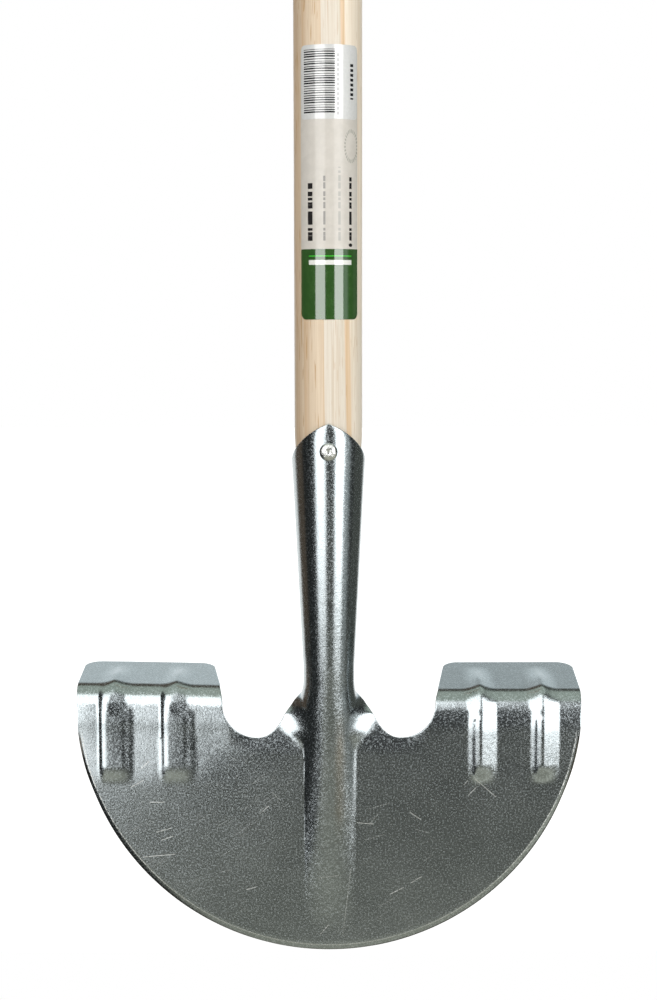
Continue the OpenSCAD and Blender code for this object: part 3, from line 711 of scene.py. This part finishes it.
faint = (
    (9.2, 36.2, 5.7, 6.8), (16.6, 62.0, 25.4, 64.4), (16.6, 54.7, 20.6, 59.6), (14.5, 48.3, 23.4, 50.9),
    (36.7, 53.1, 42.3, 51.5), (21.0, 19.4, 27.0, 22.6), (-46.5, 34.6, -41.7, 35.5),
    (-24.0, 69.2, -20.8, 66.0), (-4.7, 32.2, 4.1, 33.4))
flat_place = place.vector("MULTIPLY", (1000, 0, 1000))
for shine, marks in ((0.85, bold), (0.4, faint)):
    for start_x, start_z, end_x, end_z in marks:
        length = hypot(end_x - start_x, end_z - start_z)
        along = ((end_x - start_x) / length, 0, (end_z - start_z) / length)
        off = flat_place.vector("SUBTRACT", (start_x, 0, start_z))
        run = skin.maths("MINIMUM", skin.maths("MAXIMUM", off.vector("DOT_PRODUCT", along), 0.0), length)
        foot = skin.node("ShaderNodeVectorMath", {"operation": "SCALE"}, {0: along, "Scale": run})
        mark = off.vector("DISTANCE", foot).between(0.08, 0.26, shine, 0.0) * pits.between(0.30, 0.5)
        scuffs = skin.maths("MAXIMUM", scuffs, mark)
across, depth, upward = (part * 1000 for part in place.parts())
front = depth - (axis_y * 1000 + face_depth)
scuffs = scuffs * front.between(0.7, 1.1, 1.0, 0.0)

# A browner tone lies along the right side of the ridge's crest
tint = clouds.between(0.3, 0.7).blend((0.345, 0.38, 0.388, 1), (0.392, 0.427, 0.436, 1))
tint = speckle.between(0.44, 0.68).blend(tint, (0.57, 0.625, 0.652, 1))
ridge_brown_band = across.inside(2.7, 6.0, 1.8) * upward.between(42, 62) * upward.between(96, 108, 1.0, 0.0)
tint = (ridge_brown_band * clouds.between(0.35, 0.6, 0.2, 0.6)).blend(tint, (0.36, 0.315, 0.24, 1))
tint = scuffs.blend(tint, (0.86, 0.87, 0.86, 1))

# The grinding leaves a bright burr along the inner side of the ground edge, painted as a pale line that is
# partly its highlight; the rim of the edge is painted dark as shade
from_rim = blade_radius - flat_place.vector("DISTANCE", (0, 0, blade_radius))
edge_zone = upward.between(91, 97, 1.0, 0.0)
# partly painted highlight: a pale line along the inner border of the ground edge, for the burr and the light
# it catches
burr_and_highlight = (from_rim - upward.between(29.7, 95, 2.45, 1.05)).inside(-0.2, 0.25, 0.12) * edge_zone
burr_and_highlight = burr_and_highlight * pits.between(0.40, 0.60, 0.15, 1.0) * upward.between(0, 60, 0.55, 1.0)
# painted shade: a dark line along the rim of the ground edge
rim = from_rim.between(0.3, 0.7, 1.0, 0.0) * edge_zone
tint = burr_and_highlight.blend(tint, (0.90, 0.91, 0.89, 1))
tint = rim.blend(tint, (0.13, 0.125, 0.11, 1))
rough = clouds.between(0.25, 0.75, 0.19, 0.22) + speckle.between(0.42, 0.68, -0.03, 0.09)
rough = rough + scuffs * 0.2 + burr_and_highlight * 0.28
relief = pits * 0.021 + grains * 0.02 + waves * 0.12 + streaks * 0.004
skin.surface({"Base Color": tint, "Metallic": 1.0, "Roughness": rough, "Normal": relief.bump()})
blade.data.materials.clear()
blade.data.materials.append(zinc)
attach(blade, "root")
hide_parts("blade")


# The rivet and its washer: a zinc-plated steel rivet, pushed through the socket and the shaft
# from the front and closed over a washer at the back.
rivet_line, rivet_face, washer_face = 214.6, 15.32, 12.52
shank_radius, head_radius, head_rise, tail_radius, tail_rise = 2.0, 3.7, 1.6, 3.33, 1.45
washer_hole, washer_radius, washer_thick, washer_round = 2.1, 5.5, 1.0, 0.22
soft_edge = radians(35)


def face_outwards():
    """Ends a spell of edit mode with the faces turned outwards."""
    bpy.ops.mesh.select_all(action="SELECT")
    bpy.ops.mesh.normals_make_consistent(inside=False)
    bpy.ops.object.mode_set(mode="OBJECT")


def turned(name, rings, segments):
    """Turns a piece round the Z axis: a disc is drawn out from ring to ring (radius and height, mm)."""
    radius, height = rings[0]
    bpy.ops.object.select_all(action="DESELECT")
    bpy.ops.mesh.primitive_circle_add(
        vertices=segments, radius=radius / 1000, fill_type="NGON", location=(0, 0, height / 1000))
    piece = bpy.context.object
    piece.name = piece.data.name = name
    bpy.ops.object.transform_apply(location=True, rotation=True, scale=True)
    bpy.ops.object.mode_set(mode="EDIT")
    bpy.ops.mesh.select_all(action="SELECT")
    for wider, higher in rings[1:]:
        growth, middle = wider / radius, (0, 0, higher / 1000)
        bpy.ops.mesh.extrude_region_move(TRANSFORM_OT_translate={"value": (0, 0, (higher - height) / 1000)})
        bpy.ops.transform.resize(value=(growth, growth, 1), center_override=middle)
        radius, height = wider, higher
    face_outwards()
    bpy.ops.object.shade_smooth_by_angle(angle=soft_edge)
    return piece


def lay(piece, turn, place):
    """Turns a finished piece and moves it to its place (mm from the shaft's axis), in its mesh."""
    piece.rotation_euler = tuple(radians(angle) for angle in turn)
    piece.location = (place[0] / 1000, axis_y + place[1] / 1000, place[2] / 1000)
    bpy.ops.object.transform_apply(location=True, rotation=True, scale=True)


def dome(radius, rise, start, count):
    """Rings of a flattened dome, from its rim to its top."""
    top_radius, shares = 0.15, [step / count for step in range(count + 1)]
    return [(radius * cos(pi / 2 * share) + top_radius * share, start + rise * sin(pi / 2 * share))
            for share in shares]


dimple = ((1.5, 1.74), (1.2, 1.74), (1.0, 1.66), (0.75, 1.56), (0.45, 1.52), (0.15, 1.5))
head = dome(head_radius, head_rise, rivet_face + 0.25, 9)[:7]
head += [(radius, rivet_face + rise) for radius, rise in dimple]
shank = [(3.2, -washer_face - 1.0), (shank_radius, -washer_face - 0.9),
         (shank_radius, rivet_face - 0.7), (3.45, rivet_face - 0.6)]
tail = [(radius, -height) for radius, height in reversed(dome(tail_radius, tail_rise, washer_face + 1.15, 9))]
rivet = turned("socket_rivet_steel", tail + shank + head, segments=64)
lay(rivet, (90, 0, 0), (0, 0, rivet_line))

plating, plate, place = new_finish("plated_rivet")
dents = place.noise(620, 2, 0.55)
specks = place.noise(2600, 2, 0.6)
dulled = dents.between(0.4, 0.7).blend((0.66, 0.67, 0.65, 1), (0.50, 0.51, 0.48, 1))
plate.surface({
    "Base Color": specks.between(0.55, 0.75).blend(dulled, (0.76, 0.77, 0.75, 1)), "Metallic": 1.0,
    "Roughness": dents.between(0.3, 0.7, 0.20, 0.36), "Normal": (dents * 0.24 + specks * 0.03).bump()})
rivet.data.materials.append(plating)
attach(rivet, "root")
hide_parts("socket_rivet")


def flat_plate(name, width, length):
    """Starts a piece as a flat plate (mm), and leaves it selected in edit mode."""
    bpy.ops.object.select_all(action="DESELECT")
    bpy.ops.mesh.primitive_plane_add(size=1)
    piece = bpy.context.object
    piece.name = piece.data.name = name
    bpy.ops.object.mode_set(mode="EDIT")
    bpy.ops.mesh.select_all(action="SELECT")
    bpy.ops.transform.resize(value=(width / 1000, length / 1000, 1))
    return piece


washer = flat_plate("rivet_washer_steel", washer_radius - washer_hole, washer_thick)
bpy.ops.transform.translate(value=((washer_radius + washer_hole) / 2000, washer_thick / 2000, 0))
bpy.ops.mesh.bevel(offset=washer_round / 1000, segments=3, affect="VERTICES")
bpy.ops.mesh.spin(steps=72, angle=2 * pi, center=(0, 0, 0), axis=(0, 1, 0))
bpy.ops.mesh.select_all(action="SELECT")
bpy.ops.mesh.remove_doubles(threshold=0.000002)
bpy.ops.mesh.select_all(action="DESELECT")
bpy.ops.mesh.select_mode(type="FACE")
bpy.ops.mesh.select_interior_faces()
bpy.ops.mesh.delete(type="FACE")
face_outwards()
bpy.ops.object.shade_smooth_by_angle(angle=soft_edge)
lay(washer, (0, 0, 0), (0, washer_face, rivet_line))
washer.data.materials.append(plating)
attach(washer, "root")
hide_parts("rivet_washer")


# The shaft: an ash rod with a tapered foot driven into the socket, and a round tenon at its
# top that passes through the grip. It is sanded smooth and has a thin clear varnish.
shaft_radius, shaft_foot, taper_end = 14.0, 123.0, 221.05
seat_line, grip_line, belly_radius, tenon_radius, tenon_edge = 946.36, 956.0, 17.0, 9.0, 0.3
foot_gap, foot_edge = 0.15, 0.8
foot_radius = neck_radius - sheet - foot_gap
tenon_end = grip_line + belly_radius
shaft = turned("shaft_ash", [
    (foot_radius - foot_edge, shaft_foot), (foot_radius, shaft_foot + foot_edge),
    (13.9, taper_end - 2), (shaft_radius, taper_end + 0.5), (shaft_radius, taper_end + 3),
    (shaft_radius, 500), (shaft_radius, seat_line - 2), (shaft_radius, seat_line - 0.4),
    (shaft_radius - 0.4, seat_line), (tenon_radius + tenon_edge, seat_line),
    (tenon_radius, seat_line + tenon_edge), (tenon_radius, tenon_end - 5), (tenon_radius, tenon_end - 1),
    (tenon_radius - tenon_edge, tenon_end - 0.7), (7.2, tenon_end - 0.5), (5.4, tenon_end - 0.3),
    (3.6, tenon_end - 0.2), (1.8, tenon_end - 0.1), (0.4, tenon_end)], segments=96)
lay(shaft, (0, 0, 0), (0, 0, 0))

# The tenon's end is trimmed to the round of the grip's belly
for point in shaft.data.vertices:
    if point.co.z > (tenon_end - 1.1) / 1000:
        end = grip_line + sqrt(belly_radius ** 2 - ((point.co.y - axis_y) * 1000) ** 2)
        edge = tenon_edge if hypot(point.co.x, point.co.y - axis_y) * 1000 > tenon_radius - 0.05 else 0.0
        point.co.z = (end - edge) / 1000


def timber(name, turn, centre, pith, rings, run_out, pores_low):
    """Varnished wood whose grain runs along the local Z axis after the turn. The rings are
    colours by their distance from the pith (mm), and run_out is the grain's slope along the piece."""
    wood, grain, place = new_finish(name)
    local = place.mapped(centre, turn)
    length = local.parts()[2]
    from_pith = local.vector("MULTIPLY", (1, 1, 0)).vector("DISTANCE", (pith[0] / 1000, pith[1] / 1000, 0))
    wander = local.noise(210, 2, along=0.035)
    ring = from_pith * 1000 + (wander - 0.5) * 1.5 + (length - 0.3) * run_out
    first, last = rings[0][0], rings[-1][0]
    stops = [((distance - first) / (last - first), colour) for distance, colour in rings]
    tone = grain.node("ShaderNodeValToRGB", {"stops": stops}, {0: (ring - first) / (last - first)})

    fibres = local.noise(1500, 3, 0.6, along=0.012)
    strands = local.noise(520, 2, 0.55, along=0.02)
    flecks = local.noise(2200, 2, 0.6)
    pores = local.noise(1900, along=0.06).between(pores_low, pores_low + 0.05) * strands.between(0.4, 0.55)
    pores = pores * ring.between(35.5, 37.0, 1.0, 0.4)
    for share, shade in ((fibres.between(0.35, 0.7), (0.90, 0.865, 0.82, 1)),
                         (strands.between(0.5, 0.72) * 0.75, (0.90, 0.84, 0.76, 1))):
        darker = grain.node("ShaderNodeMix", {"data_type": "RGBA", "blend_type": "MULTIPLY"}, {
            0: 1.0, 6: tone, 7: shade}, out=2)
        tone = share.blend(tone, darker)
    tone = (pores * 0.85).blend(tone, (0.50, 0.29, 0.13, 1))
    rough = fibres.between(0.3, 0.75, 0.42, 0.56) + pores * 0.12
    relief = fibres * 0.035 + strands * 0.03 + flecks * 0.01 - pores * 0.04
    grain.surface({"Base Color": tone, "Roughness": rough, "IOR": 1.32, "Normal": relief.bump()})
    return wood


cream, pale = (0.725, 0.66, 0.572), (0.71, 0.575, 0.43)
tan_wood, amber = (0.65, 0.47, 0.305), (0.75, 0.565, 0.38)
warm_pale, white_wood, straw = (0.73, 0.60, 0.455), (0.88, 0.79, 0.67), (0.86, 0.75, 0.61)
shaft.data.materials.append(timber(
    "shaft_ash", turn=(0, 0, 0), centre=(0, axis_y, 0), pith=(-30, 10), rings=[
        (16.0, tan_wood), (21.2, pale), (22.0, tan_wood), (27.6, pale), (28.3, tan_wood), (31.0, pale),
        (34.2, warm_pale), (36.1, pale), (36.4, tan_wood), (36.7, cream), (42.5, cream), (42.75, amber),
        (43.5, amber), (43.8, white_wood), (48.0, straw)],
    run_out=9.0, pores_low=0.675))
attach(shaft, "root")
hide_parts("shaft")


# The film label: a glossy printed film stuck round the front of the shaft, with a green foot,
# plain printed rules and a ring of dots.
film_foot, film_length, film_half, film_corner, label_turn = 268.3, 108.0, 11.3, 2.7, 3.2
label_thick, glue, label_strips = 0.12, 0.05, 40
green_top, edge_soft = 296.6, 0.06
bullet_side, bullet_height, bullet_radius = 9.05, 298.2, 0.72
ring_side, ring_height, ring_half_width, ring_half_height, ring_dot_count = 9.3, 337.6, 2.7, 6.6, 26


def wrapped(name, foot, length, half_width, radius, corner):
    """A label cut flat with round corners, parted into strips and bent round the shaft."""
    half_arc = radius * asin(half_width / radius)
    piece = flat_plate(name, 2 * half_arc, length)
    bpy.ops.mesh.bevel(offset=corner / 1000, segments=7, affect="VERTICES")
    for strip in range(1, label_strips):
        cut = half_arc * (2 * strip / label_strips - 1)
        bpy.ops.mesh.select_all(action="SELECT")
        bpy.ops.mesh.bisect(plane_co=(cut / 1000, 0, 0), plane_no=(1, 0, 0))
    bpy.ops.object.mode_set(mode="OBJECT")
    middle = foot + length / 2
    for point in piece.data.vertices:
        angle = point.co.x * 1000 / radius + radians(label_turn)
        x, y = radius * sin(angle), -radius * cos(angle)
        point.co = (x / 1000, axis_y + y / 1000, point.co.y + middle / 1000)
    bpy.ops.object.mode_set(mode="EDIT")
    face_outwards()
    if sum(face.normal.y * face.area for face in piece.data.polygons) > 0:
        piece.data.flip_normals()
    thick = piece.modifiers.new("film", "SOLIDIFY")
    thick.thickness, thick.offset = label_thick / 1000, 1
    bpy.ops.object.modifier_apply(modifier=thick.name)
    bpy.ops.object.shade_smooth_by_angle(angle=soft_edge)
    return piece


film = wrapped("film_label_print", film_foot, film_length, film_half, shaft_radius + glue, film_corner)
film_stock, ink, place = new_finish("printed_film")
side, height = (part * 1000 for part in place.parts()[::2])
mottle = place.noise(260, 3, 0.6)
print_dots = place.noise(3200, 1)
ripples = place.noise(150, 1, along=0.16)
gaps = ink.node("ShaderNodeTexNoise", {"noise_dimensions": "1D"}, {"W": height, "Scale": 0.62, "Detail": 0.0})
dashes = gaps.between(0.40, 0.44)


def rule(middle, half_width, low, high):
    """A dashed rule along the shaft."""
    width = side.inside(middle - half_width, middle + half_width, edge_soft)
    return width * height.inside(low, high, edge_soft) * dashes


bold_rule, fine_rule = rule(-7.2, 0.95, 299.5, 322.9), rule(-1.5, 0.45, 299.9, 325.7)
pale_rule, dark_rule = rule(4.6, 0.5, 299.9, 329.3), rule(9.05, 0.5, 300.0, 325.3)
flat_spot = ink.node("ShaderNodeCombineXYZ", None, {0: side, 1: height})
bullet = flat_spot.vector("DISTANCE", (bullet_side, bullet_height, 0))
bullet = bullet.between(bullet_radius - 0.07, bullet_radius + 0.08, 1.0, 0.0)
out_x, out_z = (side - ring_side) / ring_half_width, (height - ring_height) / ring_half_height
ring_out = ink.maths("SQRT", out_x * out_x + out_z * out_z)
ring_turn = ink.maths("ARCTAN2", out_z, out_x)
ring_dots = ring_out.inside(0.80, 1.02, 0.03)
ring_dots = ring_dots * ink.maths("SINE", ring_turn * ring_dot_count).between(-0.5, 0.1)
green_foot = height.between(green_top - 0.1, green_top + 0.1, 1.0, 0.0)

colour = mottle.between(0.3, 0.7).blend((0.665, 0.625, 0.57, 1), (0.685, 0.645, 0.59, 1))
colour = ring_dots.blend(colour, (0.43, 0.42, 0.37, 1))
colour = (pale_rule * 0.75).blend(colour, (0.46, 0.45, 0.42, 1))
colour = (fine_rule * 0.8).blend(colour, (0.27, 0.26, 0.25, 1))
black_print = ink.maths("MAXIMUM", ink.maths("MAXIMUM", bold_rule, dark_rule), bullet)
colour = black_print.blend(colour, (0.024, 0.022, 0.022, 1))
deep_green = mottle.between(0.3, 0.7).blend((0.026, 0.082, 0.016, 1), (0.036, 0.100, 0.022, 1))
deep_green = print_dots.between(0.55, 0.75, 0.0, 0.35).blend(deep_green, (0.055, 0.13, 0.035, 1))
colour = green_foot.blend(colour, deep_green)
bands_width = side.inside(-7.8, 9.4, 0.1)
colour = (bands_width * height.inside(293.55, 294.05, edge_soft)).blend(colour, (0.05, 0.46, 0.035, 1))
colour = (bands_width * height.inside(290.3, 292.2, 0.08)).blend(colour, (0.80, 0.80, 0.76, 1))
relief = ripples * 0.11 + mottle * 0.012 + print_dots * 0.001
ink.surface({
    "Base Color": colour, "Roughness": mottle.between(0.3, 0.7, 0.12, 0.17), "IOR": 1.4,
    "Coat Weight": green_foot * 0.95 + 0.05, "Coat Roughness": 0.07, "Coat IOR": 2.0,
    "Alpha": ink.maths("MAXIMUM", green_foot, mottle.between(0.3, 0.7, 0.84, 0.88)), "Normal": relief.bump()})
film.data.materials.append(film_stock)
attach(film, "root")
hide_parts("film_label")


# The white label: a small glossy paper label stuck over the top of the film, printed with
# plain stripes and dashed rules.
label_foot, label_length, label_half, label_corner = 348.1, 29.2, 11.1, 1.8
stripe_pitch, tick_pitch = 0.95, 1.9
label_seat = shaft_radius + label_thick + 2 * glue
stripe_label = wrapped("bar_label_print", label_foot, label_length, label_half, label_seat, label_corner)
label_stock, ink, place = new_finish("white_label_paper")
side, height = (part * 1000 for part in place.parts()[::2])
paper_grain = place.noise(900, 3, 0.6)
toner = place.noise(3500, 1)
slots = ink.maths("FLOOR", height / stripe_pitch)
uneven = ink.node("ShaderNodeTexWhiteNoise", {"noise_dimensions": "1D"}, {"W": slots})
stripes = (ink.maths("FRACT", height / stripe_pitch) - uneven * 0.36).between(0.26, 0.34, 1.0, 0.0)
stripes = stripes * side.inside(-9.6, 2.9, 0.06) * height.inside(350.4, 375.5, 0.05)
ticks = ink.maths("FRACT", height / tick_pitch).inside(0.1, 0.72, 0.05)
fine_ticks = ticks * side.inside(3.6, 4.6, 0.1) * height.inside(348.9, 374.6, 0.05)
bold_ticks = ticks * side.inside(9.0, 10.2, 0.1) * height.inside(356.0, 370.0, 0.05)
colour = paper_grain.between(0.35, 0.65).blend((0.64, 0.64, 0.63, 1), (0.68, 0.68, 0.67, 1))
colour = (fine_ticks * 0.6).blend(colour, (0.25, 0.25, 0.25, 1))
dark = ink.maths("MAXIMUM", stripes, bold_ticks) * toner.between(0.2, 0.35, 0.8, 1.0)
colour = dark.blend(colour, (0.016, 0.016, 0.018, 1))
relief = paper_grain * 0.008 + dark * 0.004
ink.surface({
    "Base Color": colour, "Roughness": paper_grain.between(0.3, 0.7, 0.13, 0.19), "IOR": 1.6,
    "Coat Weight": 0.8, "Coat Roughness": 0.09, "Coat IOR": 1.7, "Normal": relief.bump()})
stripe_label.data.materials.append(label_stock)
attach(stripe_label, "root")
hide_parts("bar_label")


# The grip: a turned crossbar of the same ash, with a thicker belly that is bored for the
# shaft's tenon and for a steel pin.
grip_half, belly_half, slope_length, arm_radius, grip_end = 65.0, 18.0, 9.0, 14.0, 8.0
bore_gap, pin_radius, pin_gap, pin_line, drill_reach = 0.1, 2.0, 0.02, grip_line - 4.5, 30.0


def grip_radius(out):
    """Radius of the crossbar at a distance from its middle."""
    if out <= belly_half:
        return belly_radius
    if out <= belly_half + slope_length:
        return mix(belly_radius, arm_radius, ease((out - belly_half) / slope_length))
    if out <= grip_half - grip_end:
        return arm_radius
    return arm_radius - grip_end + sqrt(max(0.0, grip_end ** 2 - (out - grip_half + grip_end) ** 2))


shares = [step / 12 for step in range(13)]
outs = [0, 9, 17] + [belly_half + slope_length * share for share in shares] + [28, 40, 55]
outs += [grip_half - grip_end + grip_end * sin(pi / 2 * share) for share in shares]
profile = [(grip_radius(out), out) for out in outs] + [(3.0, grip_half), (0.4, grip_half)]
mirrored = [(radius, -out) for radius, out in reversed(profile[1:])]
grip = turned("grip_ash", mirrored + profile, segments=96)
lay(grip, (0, 90, 0), (0, 0, grip_line))


def bored(piece, radius, turn, low, high, height):
    """Bores a round hole into a piece at a height: the drill runs from low to high along its own axis."""
    drill = turned("drill", [(radius, low), (radius, high)], 72)
    lay(drill, turn, (0, 0, height))
    bpy.ops.object.select_all(action="DESELECT")
    bpy.context.view_layer.objects.active = piece
    hole = piece.modifiers.new("hole", "BOOLEAN")
    hole.object, hole.operation, hole.solver = drill, "DIFFERENCE", "EXACT"
    bpy.ops.object.modifier_apply(modifier=hole.name)
    bpy.data.objects.remove(drill)


bored(grip, tenon_radius + bore_gap, (0, 0, 0), -drill_reach, drill_reach, grip_line)
bored(grip, shaft_radius + bore_gap, (0, 0, 0), -drill_reach, seat_line - grip_line, grip_line)
bored(grip, pin_radius + pin_gap, (90, 0, 0), -drill_reach, drill_reach, pin_line)
eased = grip.modifiers.new("eased", "BEVEL")
eased.width, eased.segments = 0.0003, 2
eased.limit_method, eased.angle_limit = "ANGLE", radians(40)
bpy.ops.object.modifier_apply(modifier=eased.name)
grip.select_set(True)
bpy.ops.object.shade_smooth_by_angle(angle=soft_edge)
grip.data.materials.append(timber(
    "grip_ash", turn=(0, 90, 0), centre=(0, axis_y, grip_line / 1000), pith=(12, 34), rings=[
        (15.0, cream), (22.0, pale), (24.0, tan_wood), (24.5, amber), (24.9, cream), (29.0, pale),
        (32.0, tan_wood), (32.6, amber), (33.0, cream), (37.0, pale), (40.2, tan_wood), (40.8, amber),
        (41.2, cream), (46.0, pale), (48.6, amber), (49.0, cream), (54.0, pale)],
    run_out=14.0, pores_low=0.72))
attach(grip, "root")
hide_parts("grip")


# The wedge: a thin beech wedge driven into the tenon's saw cut from above and trimmed almost flush,
# to the round of the grip's belly.
wedge_length, wedge_thick, wedge_nose, wedge_gap, wedge_proud = 18.0, 3.0, 0.8, 0.1, 0.12
wedge_top = (0, 0, wedge_length / 1000)
wedge = flat_plate("grip_wedge_beech", wedge_nose, 2 * (tenon_radius - wedge_gap))
bpy.ops.mesh.subdivide(number_cuts=23)
bpy.ops.mesh.extrude_region_move(TRANSFORM_OT_translate={"value": wedge_top})
bpy.ops.transform.resize(value=(wedge_thick / wedge_nose, 1, 1), center_override=wedge_top)
face_outwards()
lay(wedge, (0, 0, 0), (0, 0, grip_line + belly_radius - wedge_length))
for point in wedge.data.vertices:
    y = (point.co.y - axis_y) * 1000
    reach = sqrt(max(0.0, tenon_radius ** 2 - (point.co.x * 1000) ** 2)) - wedge_gap
    point.co.y = axis_y + max(-reach, min(reach, y)) / 1000
    if point.co.z > (grip_line + belly_radius) / 1000 - 0.001:
        point.co.z = (grip_line + sqrt(belly_radius ** 2 - y ** 2) + wedge_proud) / 1000
bpy.ops.object.shade_smooth_by_angle(angle=soft_edge)
wedge.data.materials.append(timber(
    "wedge_beech", turn=(0, 0, 0), centre=(0, axis_y, grip_line / 1000), pith=(20, 3), rings=[
        (8.0, (0.40, 0.235, 0.12)), (16.0, (0.47, 0.29, 0.16)), (19.0, (0.36, 0.20, 0.10)),
        (20.0, (0.50, 0.32, 0.18)), (22.0, (0.38, 0.215, 0.11)), (30.0, (0.46, 0.28, 0.15))],
    run_out=0.0, pores_low=0.66))
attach(wedge, "root")
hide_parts("grip_wedge")


# The grip's pin: a plain steel pin driven through the belly and the tenon from the front, with
# its ends just below the surface.
pin_sunk = 0.4
pin_half = sqrt(belly_radius ** 2 - (grip_line - pin_line) ** 2) - pin_sunk
pin_end = [(pin_radius - pin_gap, pin_half - 0.35), (1.9, pin_half - 0.15), (1.65, pin_half - 0.03),
           (1.2, pin_half), (0.3, pin_half - 0.06)]
far_end = [(radius, -height) for radius, height in reversed(pin_end)]
pin = turned("grip_pin_steel", far_end + pin_end, segments=48)
lay(pin, (90, 0, 0), (0, 0, pin_line))
pin.data.materials.append(plating)
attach(pin, "root")
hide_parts("grip_pin")
